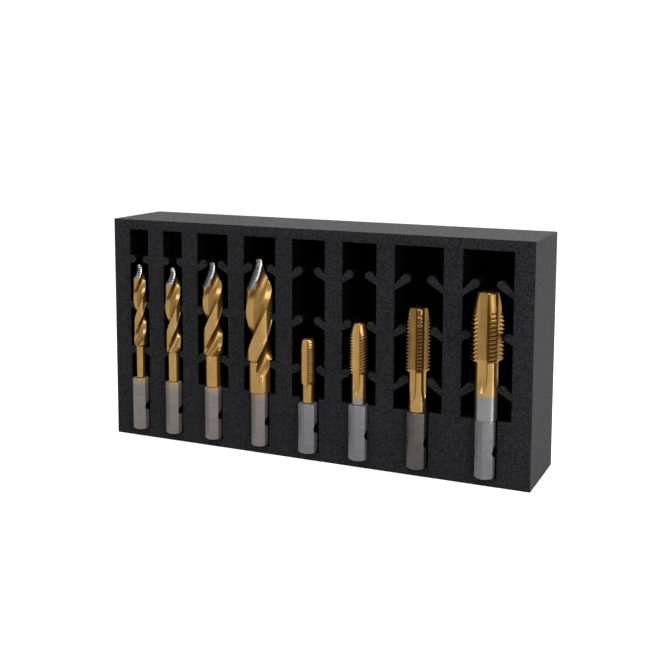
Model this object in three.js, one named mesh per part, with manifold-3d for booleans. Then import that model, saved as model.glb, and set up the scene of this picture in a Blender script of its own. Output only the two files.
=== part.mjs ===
// A foam tool tray that stands on its long edge, with four taps and the four twist drills that
// drill their holes. Each tool's hexagonal quick-change shank is pressed into a seat in the foam,
// and its working end stands in a slot whose walls carry three rows of springy foam fingers.
//
// Millimetres. +X runs along the tray, -Y points out of its open face and +Z is up. The origin is
// the middle of the edge that the tray stands on.

import * as THREE from "three";
import { mergeVertices } from "three/addons/utils/BufferGeometryUtils.js";
import Module from "manifold-3d";

const wasm = await Module();
wasm.setup();

const TURN = 2 * Math.PI;
const degrees = THREE.MathUtils.degToRad;

// Tray: a cut layer glued to a plain base layer
const TRAY_HEIGHT = 121;
const TRAY_DEPTH = 45;
const BASE_THICKNESS = 12;
const GLUE_LINE = 0.3;
const END_WALL = 10;
const TOP_WALL = 5.4;
const RIB = 9.6;
const SHANK_BAND = 33.1;

// Slots: one width for each size of tool
const SMALL_SLOT = 11.7;
const MEDIUM_SLOT = 18.5;
const LARGE_SLOT = 25.3;

// Foam fingers: three rows, a pitch apart, that rise from both walls of each slot
const FINGER_THICKNESS = 4.5;
const FINGER_RISE = degrees(48);
const FINGER_ROWS = 3;
const FINGER_PITCH = 25.4;
const FIRST_FINGER_TOP = 17.6;
const SMALL_FINGER_GAP = 4.6;
const MEDIUM_FINGER_GAP = 6.3;
const LARGE_FINGER_GAP = 8.6;

// Fit of the tools in the foam
const CLEARANCE = 0.3;
const AXIS_DEPTH = 1.1;
const OVERRUN = 2;

// Hexagonal shanks, by their width across flats
const DRILL_HEX = 7.94;
const TAP_HEX = 9;
const SHANK_LENGTH = 28.7;
const SHORT_SHANK_LENGTH = 26.2;
const SHANK_CHAMFER = 0.6;
const DRILL_NOTCH_RADIUS = 2.4;
const TAP_NOTCH_RADIUS = 2.9;
const NOTCH_HEIGHT = 13;

// Twist drills: two flutes, with a full-width margin on the leading edge of each land
const DRILL_CORE_SHARE = 0.24;
const DRILL_FLUTE_SHARE = 0.54;
const BODY_CLEARANCE_SHARE = 0.955;
const MARGIN_ANGLE = degrees(13);
const POINT_WIDTH_SHARE = 0.19;
const MOST_MARGIN_SHARE = 0.5;
const DRILL_WHEEL_RADIUS = 14;

// Taps: straight flutes and a tapered lead; the lands stand at the thread's full diameter
const TAP_CORE_SHARE = 0.48;
const TAP_WHEEL_RADIUS = 28;
const THREAD_RUN_OUT = 1.2;
const END_BEVEL = 0.5;

const SMALL = { slotWidth: SMALL_SLOT, fingerGap: SMALL_FINGER_GAP };
const MEDIUM = { slotWidth: MEDIUM_SLOT, fingerGap: MEDIUM_FINGER_GAP };
const LARGE = { slotWidth: LARGE_SLOT, fingerGap: LARGE_FINGER_GAP };

// Each tool's own sizes. Lengths are measured from the end of the shank, and flutes, points,
// threads and leads from the tip. LAND_BELOW_TIP is how far below the tip a land of the drill
// faces straight out of the tray.
const M8_DRILL_LENGTH = 91.8;
const M8_DRILL_DIAMETER = 6.8;
const M8_DRILL_NECK_DIAMETER = 4.5;
const M8_DRILL_NECK_LENGTH = 17.6;
const M8_DRILL_FLUTE_LENGTH = 45;
const M8_DRILL_LEAD = 46;
const M8_DRILL_POINT_LENGTH = 7.1;
const M8_DRILL_LAND_BELOW_TIP = 30.5;

const M10_DRILL_LENGTH = 91.3;
const M10_DRILL_DIAMETER = 8.3;
const M10_DRILL_NECK_DIAMETER = 5.9;
const M10_DRILL_NECK_LENGTH = 16.1;
const M10_DRILL_FLUTE_LENGTH = 46.5;
const M10_DRILL_LEAD = 55.5;
const M10_DRILL_POINT_LENGTH = 8.6;
const M10_DRILL_LAND_BELOW_TIP = 35.2;

const M12_DRILL_LENGTH = 95.8;
const M12_DRILL_DIAMETER = 10.6;
const M12_DRILL_NECK_DIAMETER = 8;
const M12_DRILL_NECK_LENGTH = 17;
const M12_DRILL_FLUTE_LENGTH = 50.6;
const M12_DRILL_LEAD = 60;
const M12_DRILL_POINT_LENGTH = 12.6;
const M12_DRILL_LAND_BELOW_TIP = 36.1;

const M16_DRILL_LENGTH = 99.3;
const M16_DRILL_DIAMETER = 14;
const M16_DRILL_NECK_DIAMETER = 11.2;
const M16_DRILL_NECK_LENGTH = 16.6;
const M16_DRILL_FLUTE_LENGTH = 61.1;
const M16_DRILL_LEAD = 85.5;
const M16_DRILL_POINT_LENGTH = 15.7;
const M16_DRILL_LAND_BELOW_TIP = 47.6;

const M8_TAP_LENGTH = 59.5;
const M8_TAP_DIAMETER = 8;
const M8_TAP_NECK_DIAMETER = 5.9;
const M8_TAP_THREAD_LENGTH = 22.2;
const M8_TAP_LEAD_LENGTH = 4.5;
const M8_TAP_LEAD_DIAMETER = 6.3;
const M8_TAP_FLUTE_LENGTH = 28;

const M10_TAP_LENGTH = 70.4;
const M10_TAP_DIAMETER = 10;
const M10_TAP_NECK_DIAMETER = 7.3;
const M10_TAP_THREAD_LENGTH = 24.8;
const M10_TAP_LEAD_LENGTH = 8;
const M10_TAP_LEAD_DIAMETER = 6;
const M10_TAP_FLUTE_LENGTH = 36.6;

const M12_TAP_LENGTH = 80.6;
const M12_TAP_DIAMETER = 12;
const M12_TAP_NECK_DIAMETER = 8.3;
const M12_TAP_THREAD_LENGTH = 30.7;
const M12_TAP_LEAD_LENGTH = 9;
const M12_TAP_LEAD_DIAMETER = 9.2;
const M12_TAP_FLUTE_LENGTH = 46.8;

const M16_TAP_LENGTH = 91.1;
const M16_TAP_DIAMETER = 16;
const M16_TAP_NECK_DIAMETER = 10.9;
const M16_TAP_THREAD_LENGTH = 32.6;
const M16_TAP_LEAD_LENGTH = 15;
const M16_TAP_LEAD_DIAMETER = 10.4;
const M16_TAP_FLUTE_LENGTH = 48.8;

const DRILLS = [
  {
    name: "drill_for_m8",
    slot: SMALL,
    length: M8_DRILL_LENGTH,
    diameter: M8_DRILL_DIAMETER,
    neckDiameter: M8_DRILL_NECK_DIAMETER,
    neckLength: M8_DRILL_NECK_LENGTH,
    fluteLength: M8_DRILL_FLUTE_LENGTH,
    lead: M8_DRILL_LEAD,
    pointLength: M8_DRILL_POINT_LENGTH,
    landBelowTip: M8_DRILL_LAND_BELOW_TIP,
  },
  {
    name: "drill_for_m10",
    slot: SMALL,
    length: M10_DRILL_LENGTH,
    diameter: M10_DRILL_DIAMETER,
    neckDiameter: M10_DRILL_NECK_DIAMETER,
    neckLength: M10_DRILL_NECK_LENGTH,
    fluteLength: M10_DRILL_FLUTE_LENGTH,
    lead: M10_DRILL_LEAD,
    pointLength: M10_DRILL_POINT_LENGTH,
    landBelowTip: M10_DRILL_LAND_BELOW_TIP,
  },
  {
    name: "drill_for_m12",
    slot: MEDIUM,
    length: M12_DRILL_LENGTH,
    diameter: M12_DRILL_DIAMETER,
    neckDiameter: M12_DRILL_NECK_DIAMETER,
    neckLength: M12_DRILL_NECK_LENGTH,
    fluteLength: M12_DRILL_FLUTE_LENGTH,
    lead: M12_DRILL_LEAD,
    pointLength: M12_DRILL_POINT_LENGTH,
    landBelowTip: M12_DRILL_LAND_BELOW_TIP,
  },
  {
    name: "drill_for_m16",
    slot: MEDIUM,
    length: M16_DRILL_LENGTH,
    diameter: M16_DRILL_DIAMETER,
    neckDiameter: M16_DRILL_NECK_DIAMETER,
    neckLength: M16_DRILL_NECK_LENGTH,
    fluteLength: M16_DRILL_FLUTE_LENGTH,
    lead: M16_DRILL_LEAD,
    pointLength: M16_DRILL_POINT_LENGTH,
    landBelowTip: M16_DRILL_LAND_BELOW_TIP,
  },
];

// landTurn is the angle of one land from straight out of the tray, towards +X. fluteShare is how
// much of the way round the flutes take up.
const TAPS = [
  {
    name: "tap_m8",
    slot: MEDIUM,
    shankLength: SHORT_SHANK_LENGTH,
    length: M8_TAP_LENGTH,
    diameter: M8_TAP_DIAMETER,
    neckDiameter: M8_TAP_NECK_DIAMETER,
    threadLength: M8_TAP_THREAD_LENGTH,
    leadLength: M8_TAP_LEAD_LENGTH,
    leadDiameter: M8_TAP_LEAD_DIAMETER,
    fluteLength: M8_TAP_FLUTE_LENGTH,
    flutes: 3,
    fluteShare: 0.4,
    landTurn: degrees(55),
  },
  {
    name: "tap_m10",
    slot: MEDIUM,
    shankLength: SHANK_LENGTH,
    length: M10_TAP_LENGTH,
    diameter: M10_TAP_DIAMETER,
    neckDiameter: M10_TAP_NECK_DIAMETER,
    threadLength: M10_TAP_THREAD_LENGTH,
    leadLength: M10_TAP_LEAD_LENGTH,
    leadDiameter: M10_TAP_LEAD_DIAMETER,
    fluteLength: M10_TAP_FLUTE_LENGTH,
    flutes: 3,
    fluteShare: 0.55,
    landTurn: degrees(65),
  },
  {
    name: "tap_m12",
    slot: LARGE,
    shankLength: SHANK_LENGTH,
    length: M12_TAP_LENGTH,
    diameter: M12_TAP_DIAMETER,
    neckDiameter: M12_TAP_NECK_DIAMETER,
    threadLength: M12_TAP_THREAD_LENGTH,
    leadLength: M12_TAP_LEAD_LENGTH,
    leadDiameter: M12_TAP_LEAD_DIAMETER,
    fluteLength: M12_TAP_FLUTE_LENGTH,
    flutes: 4,
    fluteShare: 0.56,
    landTurn: degrees(24),
  },
  {
    name: "tap_m16",
    slot: LARGE,
    shankLength: SHANK_LENGTH,
    length: M16_TAP_LENGTH,
    diameter: M16_TAP_DIAMETER,
    neckDiameter: M16_TAP_NECK_DIAMETER,
    threadLength: M16_TAP_THREAD_LENGTH,
    leadLength: M16_TAP_LEAD_LENGTH,
    leadDiameter: M16_TAP_LEAD_DIAMETER,
    fluteLength: M16_TAP_FLUTE_LENGTH,
    flutes: 4,
    fluteShare: 0.62,
    landTurn: degrees(37),
  },
];

// Facets
const FINGER_TIP_STEPS = 5;
const FINGER_FIT_STEPS = 15;
const NOTCH_STEPS = 18;
const TURNED_STEPS = 36;
const TWIST_PER_RING = degrees(14);
const RUN_OUT_RINGS = 4;
const DRILL_FLUTE_STEPS = 8;
const DRILL_LAND_STEPS = 3;
const TAP_FLUTE_STEPS = 6;
const TAP_LAND_STEPS = 4;
const LEAST_FLUTE_SHARE = 0.6;
const LEAST_RING_SHARE = 0.001;
const MARGIN_STEP_SHARE = 0.04;

const foamBlack = new THREE.MeshStandardMaterial({ color: 0x2c2c2e, roughness: 0.95 });
const coatedSteel = new THREE.MeshStandardMaterial({
  color: 0xbf9650,
  roughness: 0.32,
  metalness: 1,
});

// Solids

function solidOf(geometry) {
  const bare = geometry.clone();
  bare.deleteAttribute("normal");
  bare.deleteAttribute("uv");
  const merged = mergeVertices(bare);
  const vertProperties = new Float32Array(merged.attributes.position.array);
  const triVerts = new Uint32Array(merged.index.array);
  return new wasm.Manifold(new wasm.Mesh({ numProp: 3, vertProperties, triVerts }));
}

function meshOf(solid, name, material) {
  const { vertProperties, triVerts } = solid.getMesh();
  const geometry = new THREE.BufferGeometry();
  geometry.setAttribute("position", new THREE.BufferAttribute(vertProperties, 3));
  geometry.setIndex(new THREE.BufferAttribute(triVerts, 1));
  geometry.computeVertexNormals();
  const mesh = new THREE.Mesh(geometry, material);
  mesh.name = name;
  return mesh;
}

// A box given by its lowest and highest corners.
function block(low, high) {
  const size = high.clone().sub(low);
  const middle = high.clone().add(low).divideScalar(2);
  const box = new THREE.BoxGeometry(size.x, size.y, size.z);
  return solidOf(box.translate(middle.x, middle.y, middle.z));
}

// A profile of (radius, height) points turned about the Z axis, from the bottom up.
function turned(profile) {
  const points = profile.map(([radius, height]) => new THREE.Vector2(radius, height));
  return solidOf(new THREE.LatheGeometry(points, TURNED_STEPS).rotateX(TURN / 4));
}

// A solid lofted through rings that all have the same number of points, from the bottom up.
function lofted(rings) {
  const count = rings[0].length;
  const positions = rings.flat().flatMap((point) => [point.x, point.y, point.z]);
  const faces = [];
  for (let ring = 0; ring + 1 < rings.length; ring += 1) {
    for (let i = 0; i < count; i += 1) {
      const a = ring * count + i;
      const b = ring * count + ((i + 1) % count);
      faces.push(a, b, b + count, a, b + count, a + count);
    }
  }
  const ends = [rings[0], rings[rings.length - 1]];
  ends.forEach((end, top) => {
    const middle = positions.length / 3;
    const first = top * (rings.length - 1) * count;
    positions.push(0, 0, end[0].z);
    for (let i = 0; i < count; i += 1) {
      const a = first + i;
      const b = first + ((i + 1) % count);
      faces.push(middle, ...(top ? [a, b] : [b, a]));
    }
  });
  const geometry = new THREE.BufferGeometry();
  geometry.setAttribute("position", new THREE.Float32BufferAttribute(positions, 3));
  geometry.setIndex(faces);
  return solidOf(geometry);
}

// Tools

// A point at an angle from straight out of the tray, towards +X.
function polar(radius, angle, height) {
  return new THREE.Vector3(radius * Math.sin(angle), -radius * Math.cos(angle), height);
}

function hexCorner(acrossFlats) {
  return acrossFlats / Math.sqrt(3);
}

// The radius of a turned outline at a height, or 0 above its top.
function radiusAt(profile, height) {
  const next = profile.findIndex(([at]) => at >= height);
  if (next < 0) return 0;
  if (next === 0) return profile[0][1];
  const [[low, before], [high, after]] = [profile[next - 1], profile[next]];
  return THREE.MathUtils.mapLinear(height, low, high, before, after);
}

// The hexagonal shank stands on z = 0, with a corner towards -Y. Both of its ends are turned to a
// chamfer, the upper one no further in than the neck. A half-round notch for the chuck's latch
// crosses the corner at the right of the back, and on both sides the opposite one too.
function shank(acrossFlats, length, neckDiameter, notchSides, notchRadius) {
  const corner = hexCorner(acrossFlats);
  const outline = new THREE.Shape();
  for (let i = 0; i < 6; i += 1) {
    const angle = ((i + 0.5) * TURN) / 6;
    const [x, y] = [corner * Math.cos(angle), corner * Math.sin(angle)];
    if (i === 0) outline.moveTo(x, y);
    else outline.lineTo(x, y);
  }
  const prism = new THREE.ExtrudeGeometry(outline, { depth: length, bevelEnabled: false });
  const slope = Math.sqrt(3);
  const endRadius = corner - SHANK_CHAMFER * slope;
  const clearRadius = corner + SHANK_CHAMFER * slope;
  const topRadius = THREE.MathUtils.clamp(neckDiameter / 2, endRadius, clearRadius);
  const envelope = turned([
    [0, 0],
    [endRadius, 0],
    [clearRadius, 2 * SHANK_CHAMFER],
    [clearRadius, length - 2 * SHANK_CHAMFER],
    [topRadius, length],
    [0, length],
  ]);
  let solid = solidOf(prism).intersect(envelope);
  for (const side of notchSides) {
    const depth = acrossFlats + 2 * OVERRUN;
    const cutter = new THREE.CylinderGeometry(notchRadius, notchRadius, depth, NOTCH_STEPS);
    cutter.translate(side * corner, 0, NOTCH_HEIGHT);
    cutter.rotateZ(TURN / 12);
    solid = solid.subtract(solidOf(cutter));
  }
  return solid;
}

// How far the grinding wheel has lifted out of a flute towards the end of its run.
function lift(height, start, wheelRadius) {
  const drop = Math.min(Math.max(start - height, 0), wheelRadius);
  return wheelRadius - Math.sqrt(wheelRadius ** 2 - drop ** 2);
}

// Where the wheel starts to lift, so that the flute leaves the neck at the given height.
function runOutStart(end, neckRadius, core, wheelRadius) {
  const rise = neckRadius - core;
  return end + Math.sqrt(Math.max(2 * wheelRadius * rise - rise ** 2, 0));
}

// The round section of a flute that sinks to the core and spans half an angle to either side: its
// radius, and how far its middle stands from the tool's axis.
function fluteArc(radius, core, half) {
  const rise = radius * Math.cos(half) - core;
  const chord = radius * Math.sin(half);
  const arcRadius = (chord ** 2 + rise ** 2) / (2 * rise);
  return { arcRadius, distance: core + arcRadius };
}

// The half angle at which a flute's round section comes out through a radius.
function edgeAngle(arcRadius, distance, radius) {
  const cosine = (distance ** 2 + radius ** 2 - arcRadius ** 2) / (2 * distance * radius);
  return Math.acos(THREE.MathUtils.clamp(cosine, -1, 1));
}

// How deep a flute's round section lies at an angle from its middle.
function arcDepth(arcRadius, distance, angle) {
  const aside = distance * Math.sin(angle);
  return distance * Math.cos(angle) - Math.sqrt(Math.max(arcRadius ** 2 - aside ** 2, 0));
}

// One ring of a fluted body: for each flute its points from the cutting edge to the heel, and
// then the land's. Where the flute has run out, its points lie on the turned outline.
function flutedRing(body, height, turn) {
  const { flutes, radius, core, fluteHalf, fluteSteps } = body;
  const { arcRadius, distance } = fluteArc(radius, core, fluteHalf);
  const outer = radiusAt(body.profile, height);
  const away = distance + lift(height, body.runOutStart, body.wheelRadius);
  const limits = [outer, Math.min(outer, body.relieved)];
  const halves = limits.map((limit) => {
    return Math.max(edgeAngle(arcRadius, away, limit), fluteHalf * LEAST_FLUTE_SHARE);
  });
  const ring = [];
  for (let k = 0; k < flutes; k += 1) {
    const middle = turn + ((k + 0.5) * TURN) / flutes;
    for (let i = 0; i < fluteSteps; i += 1) {
      const across = -Math.cos((i * TURN) / 2 / (fluteSteps - 1));
      const side = across < 0 ? 0 : 1;
      const angle = across * halves[side];
      const depth = arcDepth(arcRadius, away, angle);
      ring.push(polar(Math.min(depth, limits[side]), middle + angle, height));
    }
    const landStart = middle + halves[1];
    const landEnd = middle + TURN / flutes - halves[0];
    for (const [share, landRadius] of body.landPoints(landEnd - landStart)) {
      const angle = THREE.MathUtils.lerp(landStart, landEnd, share);
      ring.push(polar(Math.min(outer, landRadius), angle, height));
    }
  }
  return ring;
}

function evenly(from, to, steps) {
  return Array.from({ length: steps }, (_, i) => from + ((to - from) * (i + 1)) / steps);
}

// The heights from the bottom up, without those that all but repeat the one below.
function ordered(heights) {
  const sorted = [...heights].sort((a, b) => a - b);
  const least = (sorted[sorted.length - 1] - sorted[0]) * LEAST_RING_SHARE;
  return sorted.filter((height, i) => i === 0 || height - sorted[i - 1] > least);
}

// The turned outline of a drill above its shank, as (height, radius) points.
function drillProfile(drill) {
  const radius = drill.diameter / 2;
  const neckRadius = drill.neckDiameter / 2;
  const neckEnd = SHANK_LENGTH + drill.neckLength;
  return [
    [SHANK_LENGTH, neckRadius],
    [neckEnd, neckRadius],
    [neckEnd + radius - neckRadius, radius],
    [drill.length - drill.pointLength, radius],
    [drill.length, radius * POINT_WIDTH_SHARE],
  ];
}

// The relieved part of a drill's land, and then its margin at the full radius up to the edge.
function drillLand(radius, span) {
  const margin = 1 - Math.min(MARGIN_ANGLE / span, MOST_MARGIN_SHARE);
  const relieved = evenly(0, margin - MARGIN_STEP_SHARE, DRILL_LAND_STEPS);
  const points = relieved.map((share) => [share, radius * BODY_CLEARANCE_SHARE]);
  return [...points, [margin, radius]];
}

// The twist drill above its shank: a round neck, a helically fluted body and a long tapered point.
function drillBody(drill) {
  const radius = drill.diameter / 2;
  const core = radius * DRILL_CORE_SHARE;
  const fluteEnd = drill.length - drill.fluteLength;
  const start = runOutStart(fluteEnd, drill.neckDiameter / 2, core, DRILL_WHEEL_RADIUS);
  const profile = drillProfile(drill);
  const body = {
    flutes: 2,
    radius,
    core,
    fluteHalf: (DRILL_FLUTE_SHARE * TURN) / 4,
    fluteSteps: DRILL_FLUTE_STEPS,
    relieved: radius * BODY_CLEARANCE_SHARE,
    wheelRadius: DRILL_WHEEL_RADIUS,
    runOutStart: start,
    profile,
    landPoints: (span) => drillLand(radius, span),
  };
  const { lead } = drill;
  const landHeight = drill.length - drill.landBelowTip;
  const turnAt = (height) => ((Math.max(height, fluteEnd) - landHeight) * TURN) / lead;
  const pointStart = drill.length - drill.pointLength;
  const rings = (length) => Math.ceil((length * TURN) / lead / TWIST_PER_RING);
  const heights = [
    ...profile.map(([height]) => height),
    fluteEnd,
    ...evenly(fluteEnd, start, RUN_OUT_RINGS),
    ...evenly(start, pointStart, rings(pointStart - start)),
    ...evenly(pointStart, drill.length, rings(drill.pointLength)),
  ];
  return lofted(ordered(heights).map((height) => flutedRing(body, height, turnAt(height))));
}

// The turned outline of a tap above its shank, with the thread at its full diameter.
function tapProfile(tap) {
  const radius = tap.diameter / 2;
  const neckRadius = tap.neckDiameter / 2;
  const leadRadius = tap.leadDiameter / 2;
  const threadStart = tap.length - tap.threadLength;
  return [
    [tap.shankLength, neckRadius],
    [threadStart - THREAD_RUN_OUT, neckRadius],
    [threadStart, radius],
    [tap.length - tap.leadLength, radius],
    [tap.length - END_BEVEL, leadRadius],
    [tap.length, leadRadius - END_BEVEL],
  ];
}

// The tap above its shank: a neck, lands at the thread's diameter and a tapered lead.
function tapBody(tap) {
  const radius = tap.diameter / 2;
  const core = radius * TAP_CORE_SHARE;
  const fluteEnd = tap.length - tap.fluteLength;
  const start = runOutStart(fluteEnd, tap.neckDiameter / 2, core, TAP_WHEEL_RADIUS);
  const profile = tapProfile(tap);
  const landShares = evenly(0, 1 - 1 / TAP_LAND_STEPS, TAP_LAND_STEPS - 1);
  const body = {
    flutes: tap.flutes,
    radius,
    core,
    fluteHalf: (tap.fluteShare * TURN) / (2 * tap.flutes),
    fluteSteps: TAP_FLUTE_STEPS,
    relieved: radius,
    wheelRadius: TAP_WHEEL_RADIUS,
    runOutStart: start,
    profile,
    landPoints: () => landShares.map((share) => [share, radius]),
  };
  const heights = [
    ...profile.map(([height]) => height),
    fluteEnd,
    ...evenly(fluteEnd, start, RUN_OUT_RINGS),
  ];
  return lofted(ordered(heights).map((height) => flutedRing(body, height, tap.landTurn)));
}

function isTap(tool) {
  return tool.threadLength !== undefined;
}

function toolSolid(tool) {
  const neck = tool.neckDiameter;
  if (isTap(tool)) {
    const end = shank(TAP_HEX, tool.shankLength, neck, [1, -1], TAP_NOTCH_RADIUS);
    return end.add(tapBody(tool));
  }
  return shank(DRILL_HEX, SHANK_LENGTH, neck, [1], DRILL_NOTCH_RADIUS).add(drillBody(tool));
}

// Foam

// The slots from left to right: each tool's place along the tray and the width of its slot.
function layOut(tools) {
  const widths = tools.map((tool) => tool.slot.slotWidth);
  const total = widths.reduce((sum, width) => sum + width, 0);
  const trayWidth = total + 2 * END_WALL + (tools.length - 1) * RIB;
  let left = END_WALL - trayWidth / 2;
  const places = tools.map((tool, i) => {
    const centre = left + widths[i] / 2;
    left += widths[i] + RIB;
    return { tool, centre, width: widths[i] };
  });
  return { trayWidth, places };
}

// A finger as a strip with a round tip, which starts inside the wall at x = 0 and rises towards
// +X. reach is how far its tip stands out of the wall and top is the height of the tip's top.
function finger(reach, top, depth) {
  const radius = FINGER_THICKNESS / 2;
  const tipX = reach - radius;
  const tipZ = top - radius;
  const rootLength = (Math.max(tipX, 0) + FINGER_THICKNESS) / Math.cos(FINGER_RISE);
  const strip = new THREE.Shape();
  strip.moveTo(-rootLength, -radius);
  strip.absarc(0, 0, radius, -TURN / 4, TURN / 4, false);
  strip.lineTo(-rootLength, radius);
  const settings = { depth, bevelEnabled: false, curveSegments: FINGER_TIP_STEPS };
  const geometry = new THREE.ExtrudeGeometry(strip, settings);
  geometry.rotateZ(FINGER_RISE);
  geometry.translate(tipX, tipZ, 0);
  return geometry;
}

// How far a finger reaches out of its wall: to the gap of its slot, or up to the side of the tool.
// Below its tip, the finger leans back towards the wall.
function fingerReach(tool, width, top) {
  const profile = isTap(tool) ? tapProfile(tool) : drillProfile(tool);
  const free = (width - tool.slot.fingerGap) / 2;
  const foot = seatFloor() + CLEARANCE;
  const spares = evenly(0, 3 * FINGER_THICKNESS, FINGER_FIT_STEPS).map((drop) => {
    const radius = radiusAt(profile, top - drop - foot);
    const back = Math.max(drop - FINGER_THICKNESS, 0) / Math.tan(FINGER_RISE);
    return radius > 0 ? width / 2 - radius - CLEARANCE + back : free;
  });
  return Math.min(free, ...spares);
}

// The hole of one slot, cut along Y, with the fingers left standing in it.
function slotHole({ tool, centre, width }, front, back) {
  const half = width / 2;
  const depth = back - front + 2 * OVERRUN;
  const low = new THREE.Vector3(-half, front - OVERRUN, SHANK_BAND);
  const high = new THREE.Vector3(half, back, TRAY_HEIGHT - TOP_WALL);
  let hole = block(low, high);
  for (let row = 0; row < FINGER_ROWS; row += 1) {
    const top = SHANK_BAND + FIRST_FINGER_TOP + row * FINGER_PITCH;
    for (const side of [1, -1]) {
      const strip = finger(fingerReach(tool, width, top), top, depth);
      strip.rotateX(TURN / 4);
      strip.translate(-half, back + OVERRUN, 0);
      if (side < 0) strip.rotateZ(TURN / 2).translate(0, front + back, 0);
      hole = hole.subtract(solidOf(strip));
    }
  }
  return hole.translate([centre, 0, 0]);
}

function seatFloor() {
  return SHANK_BAND - SHANK_LENGTH;
}

// The shallow straight-sided seat that grips the hexagonal shank and opens into the slot.
function seatHole({ tool, centre }, front) {
  const acrossFlats = isTap(tool) ? TAP_HEX : DRILL_HEX;
  const half = acrossFlats / 2 + CLEARANCE;
  const floor = front + AXIS_DEPTH + hexCorner(acrossFlats) + CLEARANCE;
  return block(
    new THREE.Vector3(centre - half, front - OVERRUN, seatFloor()),
    new THREE.Vector3(centre + half, floor, SHANK_BAND + OVERRUN),
  );
}

function cutLayer({ trayWidth, places }) {
  const front = -TRAY_DEPTH / 2;
  const back = TRAY_DEPTH / 2 - BASE_THICKNESS - GLUE_LINE;
  let layer = block(
    new THREE.Vector3(-trayWidth / 2, front, 0),
    new THREE.Vector3(trayWidth / 2, back, TRAY_HEIGHT),
  );
  for (const place of places) {
    layer = layer.subtract(slotHole(place, front, back + OVERRUN));
    layer = layer.subtract(seatHole(place, front));
  }
  return layer;
}

function baseLayer({ trayWidth }) {
  return block(
    new THREE.Vector3(-trayWidth / 2, TRAY_DEPTH / 2 - BASE_THICKNESS, 0),
    new THREE.Vector3(trayWidth / 2, TRAY_DEPTH / 2, TRAY_HEIGHT),
  );
}

// Assembly

const tray = layOut([...DRILLS, ...TAPS]);
const root = new THREE.Group();
root.add(meshOf(cutLayer(tray), "foam_cut_layer", foamBlack));
root.add(meshOf(baseLayer(tray), "foam_base_layer", foamBlack));
for (const { tool, centre } of tray.places) {
  const mesh = meshOf(toolSolid(tool), tool.name, coatedSteel);
  mesh.position.set(centre, AXIS_DEPTH - TRAY_DEPTH / 2, seatFloor() + CLEARANCE);
  root.add(mesh);
}

export default root;
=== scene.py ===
"""The looks of a foam tool tray that holds twist drills and taps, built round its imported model.

The frame is in metres: +X runs along the tray, -Y points out of its open face and +Z is up. The
sizes of the tools are in millimetres, from the foot of each tool's axis, until a placer() moves
their points into the frame.
"""

import math

import bmesh
import bpy
from mathutils import Euler, Matrix, Quaternion, Vector

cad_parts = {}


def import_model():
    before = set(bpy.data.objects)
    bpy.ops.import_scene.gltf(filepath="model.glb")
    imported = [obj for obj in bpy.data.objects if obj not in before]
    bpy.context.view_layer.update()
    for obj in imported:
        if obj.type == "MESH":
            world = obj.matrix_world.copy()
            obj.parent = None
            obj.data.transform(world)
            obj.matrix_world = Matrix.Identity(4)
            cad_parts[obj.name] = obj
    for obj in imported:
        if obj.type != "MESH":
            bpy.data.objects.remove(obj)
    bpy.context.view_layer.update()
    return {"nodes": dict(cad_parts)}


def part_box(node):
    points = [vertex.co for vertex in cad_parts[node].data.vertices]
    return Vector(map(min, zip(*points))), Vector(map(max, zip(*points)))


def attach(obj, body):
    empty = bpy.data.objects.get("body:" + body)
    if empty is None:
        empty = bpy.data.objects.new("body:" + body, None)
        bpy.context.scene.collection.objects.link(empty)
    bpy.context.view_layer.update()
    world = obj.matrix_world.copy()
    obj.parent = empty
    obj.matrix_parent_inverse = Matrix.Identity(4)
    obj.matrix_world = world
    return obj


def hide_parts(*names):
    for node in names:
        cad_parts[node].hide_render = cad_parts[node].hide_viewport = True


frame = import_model()

MM = 0.001
TURN = 2 * math.pi

# Camera, fitted to the foam and the tools in the photograph
CAMERA_PLACE = (0.23494, -0.52251, 0.18493)
CAMERA_TURN = math.radians(23.849)
CAMERA_DROP = math.radians(6.79)
CAMERA_ROLL = math.radians(0.216)
CAMERA_LENS = 59.257
CAMERA_SENSOR = 36
CAMERA_SHIFT = -0.15

# Stage
WHITE = (1, 1, 1, 1)
SKY_LIGHT = 0.4
FLOOR_HALF_SIZE = 6
FLOOR_TONE = (0.3, 0.3, 0.3, 1)
FLOOR_GLOW = 0.9
MIDDLE = (0, 0, 0.06)

# Place, target, size and power of each lamp
LAMPS = {
    "right_softbox": ((0.75, 0.1, 0.35), MIDDLE, (0.5, 0.6), 4),
    "front_right_softbox": ((0.7, -0.4, 0.25), MIDDLE, (0.35, 0.4), 3),
    "table_strip": ((0.46, -0.042, 0.002), (0.46, -0.042, 1), (0.6, 0.03), 0.2),
    "top_softbox": ((0.05, 0.0, 0.85), MIDDLE, (0.8, 0.5), 9),
    "front_softbox": ((-0.35, -0.9, 0.5), MIDDLE, (0.5, 0.5), 3),
}

# Tools. To match the photograph their axes lie in front of the foam's face, and a little further
# towards +X than the axes of the solids. Those lie 1.1 mm behind the face, so the dressed tools
# stand 1.4 mm further out than the solids.
AXIS_OUT = 0.3
AXIS_ASIDE = 0.2
DRILL_HEX = 7.94
TAP_HEX = 9
SHANK_LENGTH = 28.7
SHORT_SHANK_LENGTH = 26.2
SHANK_CHAMFER = 0.6
DRILL_NOTCH_RADIUS = 2.4
TAP_NOTCH_RADIUS = 2.9
NOTCH_HEIGHT = 13
NOTCH_REACH = TAP_NOTCH_RADIUS + 1
LEAST_NOTCH_SLOPE = 0.02
SHANK_EDGE = 0.14
OVERLAP = 0.4
LEAST_FLUTE_SHARE = 0.6
LEAST_RING_GAP = 0.02
ENVELOPE_STEPS = 96
NOTCH_STEPS = 48

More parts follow.
